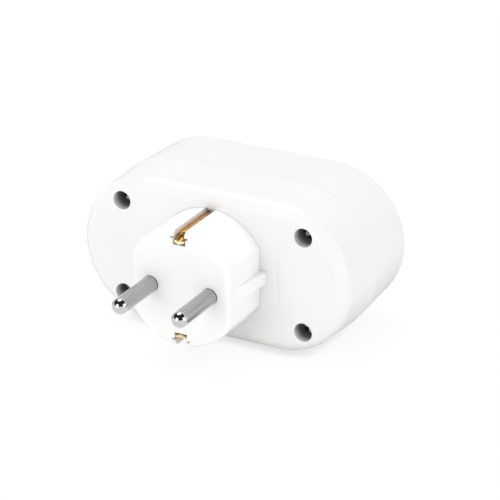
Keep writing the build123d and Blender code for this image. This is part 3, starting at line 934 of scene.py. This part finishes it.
def screw_grid(sizes, x, z, top, end, turn):
    """One screw about the line along Y through x and z, from the middle of its head to the end of its core.

    On the head the depth is pressed in by the cross recess, and the share of wear and painted glint is the
    recess grown by a margin less the recess shrunk by it. On the core the radius grows by a ridge that runs
    once along the pitch in each turn.
    """
    rim = np.linspace(0, pi / 2, RIM_POINTS)[1:]
    flat = np.linspace(0, sizes.head_radius - sizes.head_round, RECESS_ROWS)
    rim_radius = flat[-1] + sizes.head_round * np.sin(rim)
    rim_depth = sizes.head_round * (1 - np.cos(rim))
    core_depth = np.linspace(sizes.head, end - top, THREAD_ROWS)
    core = np.full(THREAD_ROWS, sizes.core)
    radius = np.concatenate((flat, rim_radius, [sizes.head_radius], core, [0]))
    depth = np.concatenate((0 * flat, rim_depth, [sizes.head], core_depth, [end - top]))
    around = np.linspace(0, 2 * pi, SCREW_COLUMNS, endpoint=False)
    radius, depth, around = radius[:, None], depth[:, None], around[None, :]
    first = np.abs(radius * np.cos(around))
    second = np.abs(radius * np.sin(around))
    across = np.minimum(first, second)
    along = np.maximum(first, second)
    on_head = depth < sizes.head_round
    press = recess(sizes, across, along, 0) * on_head
    inner = recess(sizes, across, along, -WORN_GLINT_EDGE)
    worn = (recess(sizes, across, along, WORN_GLINT_EDGE) - inner) * on_head
    phase = np.mod(depth / sizes.pitch - around / (2 * pi), 1)
    ridge = np.clip(1 - np.abs(phase - 0.5) / RIDGE_HALF, 0, 1) * (radius == sizes.core)
    ridge = ridge * np.clip((depth - sizes.head) / sizes.pitch, 0, 1)
    ridge = ridge * np.clip((end - top - depth) / sizes.pitch, 0, 1)
    radius = radius + sizes.thread * ridge
    depth = top + depth + sizes.cross_depth * press
    right = x + radius * np.cos(around + turn)
    up = z + radius * np.sin(around + turn)
    return np.stack((right, depth, up), axis=-1), worn


class ADAPTER_OT_screws(bpy.types.Operator):
    """Cut the four housing screws"""

    bl_idname = "adapter.screws"
    bl_label = "Cut screws"

    def execute(self, context):
        sizes = context.scene.adapter_screws
        low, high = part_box("housing_screws")
        across = high.x - sizes.head_radius
        up = high.z - sizes.head_radius
        places = [(x, z) for x in (-across, across) for z in (-up, up)]
        turns = sizes.first_turn + sizes.next_turn * np.arange(len(places))
        made = [screw_grid(sizes, x, z, low.y, high.y, turn) for (x, z), turn in zip(places, turns)]
        grids, worn = zip(*made)
        screws = surface("housing_screws_cut", *grids, worn=worn)
        place(screws, black_steel(context.scene.adapter_finish), "screws", "housing_screws")
        return {"FINISHED"}


# Floor: half its side, its bounce on the object, and the reach of the contact shade
FLOOR_HALF = 3.0
FLOOR_BOUNCE = 0.92
CONTACT_REACH = 3 * MM

# Soft lamps: azimuth and elevation in degrees of each
LAMPS = {"front_lamp": (-15, 18), "right_lamp": (90, 18), "top_lamp": (-125, 70)}
LAMP_DISTANCE = 1.2
LAMP_SIZE = 0.8

# Dark room and grey card, seen in reflections alone
ROOM_RADIUS = 2.0
ROOM_FOOT = radians(10)
ROOM_RISE = radians(50)
ROOM_LEVEL = 0.03
ROOM_ROWS = 24
ROOM_COLUMNS = 64
CARD_ACROSS = (-0.25, 0.055)
CARD_DEEP = (-0.005, 0.35)
CARD_LIFT = 0.2 * MM
CARD_LEVEL = 0.42


def seen_directly(tree):
    """1 for rays from the camera, from gloss and through glass, 0 for light on its way to the object."""
    path = add(tree, "ShaderNodeLightPath").outputs
    shown = calc(tree, "MAXIMUM", path["Is Camera Ray"], path["Is Glossy Ray"])
    return calc(tree, "MAXIMUM", shown, path["Is Transmission Ray"])


def white_floor(studio):
    """White floor: seen directly, part of its white is its own and part takes the object's shadow.

    Its own white is dimmed under the object, by the share of directions that the object closes: a painted
    contact shadow.
    """
    material = bpy.data.materials.new("white_floor")
    tree = emptied(material)
    shaded = add(tree, "ShaderNodeBsdfDiffuse", {"Color": grey(studio.floor_shade)})
    # Painted contact shadow: the floor's own white dims where the object closes the directions round it
    clear = add(tree, "ShaderNodeAmbientOcclusion", {"Distance": CONTACT_REACH}).outputs["AO"]
    closed = studio.floor_glow * (1 - studio.floor_contact)
    inputs = {"Value": clear, "To Min": closed, "To Max": studio.floor_glow}
    own = add(tree, "ShaderNodeMapRange", inputs).outputs["Result"]
    glow = add(tree, "ShaderNodeEmission", {"Strength": own})
    sheet = add(tree, "ShaderNodeAddShader", {0: shaded.outputs[0], 1: glow.outputs[0]})
    plain = add(tree, "ShaderNodeBsdfDiffuse", {"Color": grey(FLOOR_BOUNCE)})
    inputs = {0: seen_directly(tree), 1: plain.outputs[0], 2: sheet.outputs[0]}
    mixed = add(tree, "ShaderNodeMixShader", inputs)
    add(tree, "ShaderNodeOutputMaterial", {"Surface": mixed.outputs[0]})
    return material


def white_room(studio):
    """World that is white where it is seen, and lights the object less from behind."""
    world = bpy.data.worlds.new("white_room")
    tree = emptied(world)
    toward = add(tree, "ShaderNodeTexCoord").outputs["Generated"]
    rearward = add(tree, "ShaderNodeSeparateXYZ", {0: toward}).outputs["Y"]
    inputs = {"Value": rearward, "From Min": -1.0, "To Min": studio.ambient, "To Max": studio.ambient_back}
    lit = add(tree, "ShaderNodeMapRange", inputs).outputs["Result"]
    level = add(tree, "ShaderNodeMix", {0: seen_directly(tree), 2: lit, 3: 1.0}).outputs[0]
    background = add(tree, "ShaderNodeBackground", {"Color": grey(1), "Strength": level})
    add(tree, "ShaderNodeOutputWorld", {"Surface": background.outputs[0]})
    return world


def for_gloss(piece, level):
    """Lets a piece of the stage be seen by gloss alone, at one level of light.

    It hides nothing from the camera and no light from the object.
    """
    material = bpy.data.materials.new(piece.name)
    tree = emptied(material)
    glow = add(tree, "ShaderNodeEmission", {"Strength": level})
    add(tree, "ShaderNodeOutputMaterial", {"Surface": glow.outputs[0]})
    piece.data.materials.append(material)
    piece.visible_camera = False
    piece.visible_diffuse = False
    piece.visible_shadow = False
    piece.visible_transmission = False
    return piece


def dark_room():
    """Unlit walls and ceiling round the lamps and over a white backdrop, for reflections alone.

    A point at an azimuth a and an elevation e is the bearing of a and e times the radius. The lowest e
    rises from the front to the back by the cube of a half cosine.
    """
    around = np.linspace(-pi, pi, ROOM_COLUMNS, endpoint=False)[None, :]
    foot = ROOM_FOOT + ROOM_RISE * ((1 - np.cos(around)) / 2) ** 3
    above = foot + (pi / 2 - foot) * np.linspace(0, 1, ROOM_ROWS)[:, None]
    level = ROOM_RADIUS * np.cos(above)
    up = ROOM_RADIUS * np.sin(above)
    dome = np.stack((level * np.sin(around), -level * np.cos(around), up), axis=-1)
    return for_gloss(surface("dark_room", dome), ROOM_LEVEL)


def flat_sheet(name, across, deep, height):
    """Flat rectangle over a range of X and a range of Y, at one height."""
    (left, right), (near, far) = across, deep
    mesh = bpy.data.meshes.new(name)
    corners = [(left, near, height), (right, near, height), (right, far, height), (left, far, height)]
    mesh.from_pydata(corners, [], [(0, 1, 2, 3)])
    return new_object(name, mesh)


def grey_card(floor):
    """Grey sheet just over the floor under and behind the shells, for reflections alone."""
    card = flat_sheet("grey_card", CARD_ACROSS, CARD_DEEP, floor + CARD_LIFT)
    return for_gloss(card, CARD_LEVEL)


def bearing(azimuth, elevation):
    """Unit vector at an azimuth, from the plug's side to the right, and an elevation."""
    level = cos(elevation)
    return Vector((sin(azimuth) * level, -cos(azimuth) * level, sin(elevation)))


def soft_lamp(name, watts, azimuth, elevation):
    """Square soft lamp that faces the object from an azimuth and an elevation in degrees."""
    lamp = bpy.data.lights.new(name, "AREA")
    lamp.energy = watts
    lamp.size = LAMP_SIZE
    holder = new_object(name, lamp)
    away = bearing(radians(azimuth), radians(elevation))
    holder.location = away * LAMP_DISTANCE
    holder.rotation_euler = away.to_track_quat("Z", "Y").to_euler()


def photo_camera(studio):
    """Camera whose axes follow from its azimuth, elevation and roll, aimed beside the plug's origin."""
    back = bearing(studio.azimuth, studio.elevation)
    level = Vector((cos(studio.azimuth), sin(studio.azimuth), 0))
    upright = back.cross(level)
    right = cos(studio.roll) * level + sin(studio.roll) * upright
    up = cos(studio.roll) * upright - sin(studio.roll) * level
    lens = bpy.data.cameras.new("photo_camera")
    lens.lens = studio.lens
    camera = new_object("photo_camera", lens)
    pose = Matrix((right, up, back)).transposed().to_4x4()
    pose.translation = studio.distance * back - studio.aim_right * right - studio.aim_up * up
    camera.matrix_world = pose
    return camera


class ADAPTER_OT_studio(bpy.types.Operator):
    """Set up the floor, the room, the lamps and the camera"""

    bl_idname = "adapter.studio"
    bl_label = "Set up studio"

    def execute(self, context):
        scene = context.scene
        studio = scene.adapter_studio
        side = (-FLOOR_HALF, FLOOR_HALF)
        floor = flat_sheet("floor", side, side, CAD_BOX[0].z)
        floor.data.materials.append(white_floor(studio))
        for name, (azimuth, elevation) in LAMPS.items():
            soft_lamp(name, getattr(studio, name), azimuth, elevation)
        dark_room()
        grey_card(CAD_BOX[0].z)
        scene.world = white_room(studio)
        scene.camera = photo_camera(studio)
        scene.view_settings.view_transform = "Standard"
        return {"FINISHED"}


class ADAPTER_PT_sidebar(bpy.types.Panel):
    """Pieces and studio of the adapter"""

    bl_idname = "ADAPTER_PT_sidebar"
    bl_label = "Two-way adapter"
    bl_space_type = "VIEW_3D"
    bl_region_type = "UI"
    bl_category = "Adapter"

    def draw(self, context):
        for operator in OPERATORS:
            self.layout.operator(operator.bl_idname)
        for settings in SETTINGS:
            box = self.layout.box()
            group = getattr(context.scene, settings)
            for key in group.bl_rna.properties.keys():
                if key not in ("rna_type", "name"):
                    box.prop(group, key)


SETTINGS = {
    "adapter_finish": AdapterFinish,
    "adapter_pins": AdapterPins,
    "adapter_strap": AdapterStrap,
    "adapter_slots": AdapterSlots,
    "adapter_clips": AdapterClips,
    "adapter_screws": AdapterScrews,
    "adapter_studio": AdapterStudio,
}
OPERATORS = (
    ADAPTER_OT_housing,
    ADAPTER_OT_contacts,
    ADAPTER_OT_pins,
    ADAPTER_OT_strap,
    ADAPTER_OT_slot_ends,
    ADAPTER_OT_clips,
    ADAPTER_OT_screws,
    ADAPTER_OT_studio,
)


def register():
    for settings, group in SETTINGS.items():
        bpy.utils.register_class(group)
        setattr(bpy.types.Scene, settings, bpy.props.PointerProperty(type=group))
    for kind in (*OPERATORS, ADAPTER_PT_sidebar):
        bpy.utils.register_class(kind)


def unregister():
    for kind in (ADAPTER_PT_sidebar, *reversed(OPERATORS)):
        bpy.utils.unregister_class(kind)
    for settings, group in reversed(SETTINGS.items()):
        delattr(bpy.types.Scene, settings)
        bpy.utils.unregister_class(group)


def main():
    register()
    bpy.ops.adapter.housing()
    bpy.ops.adapter.contacts()
    bpy.ops.adapter.pins()
    bpy.ops.adapter.strap()
    bpy.ops.adapter.slot_ends()
    bpy.ops.adapter.clips()
    bpy.ops.adapter.screws()
    bpy.ops.adapter.studio()


if __name__ == "__main__":
    main()
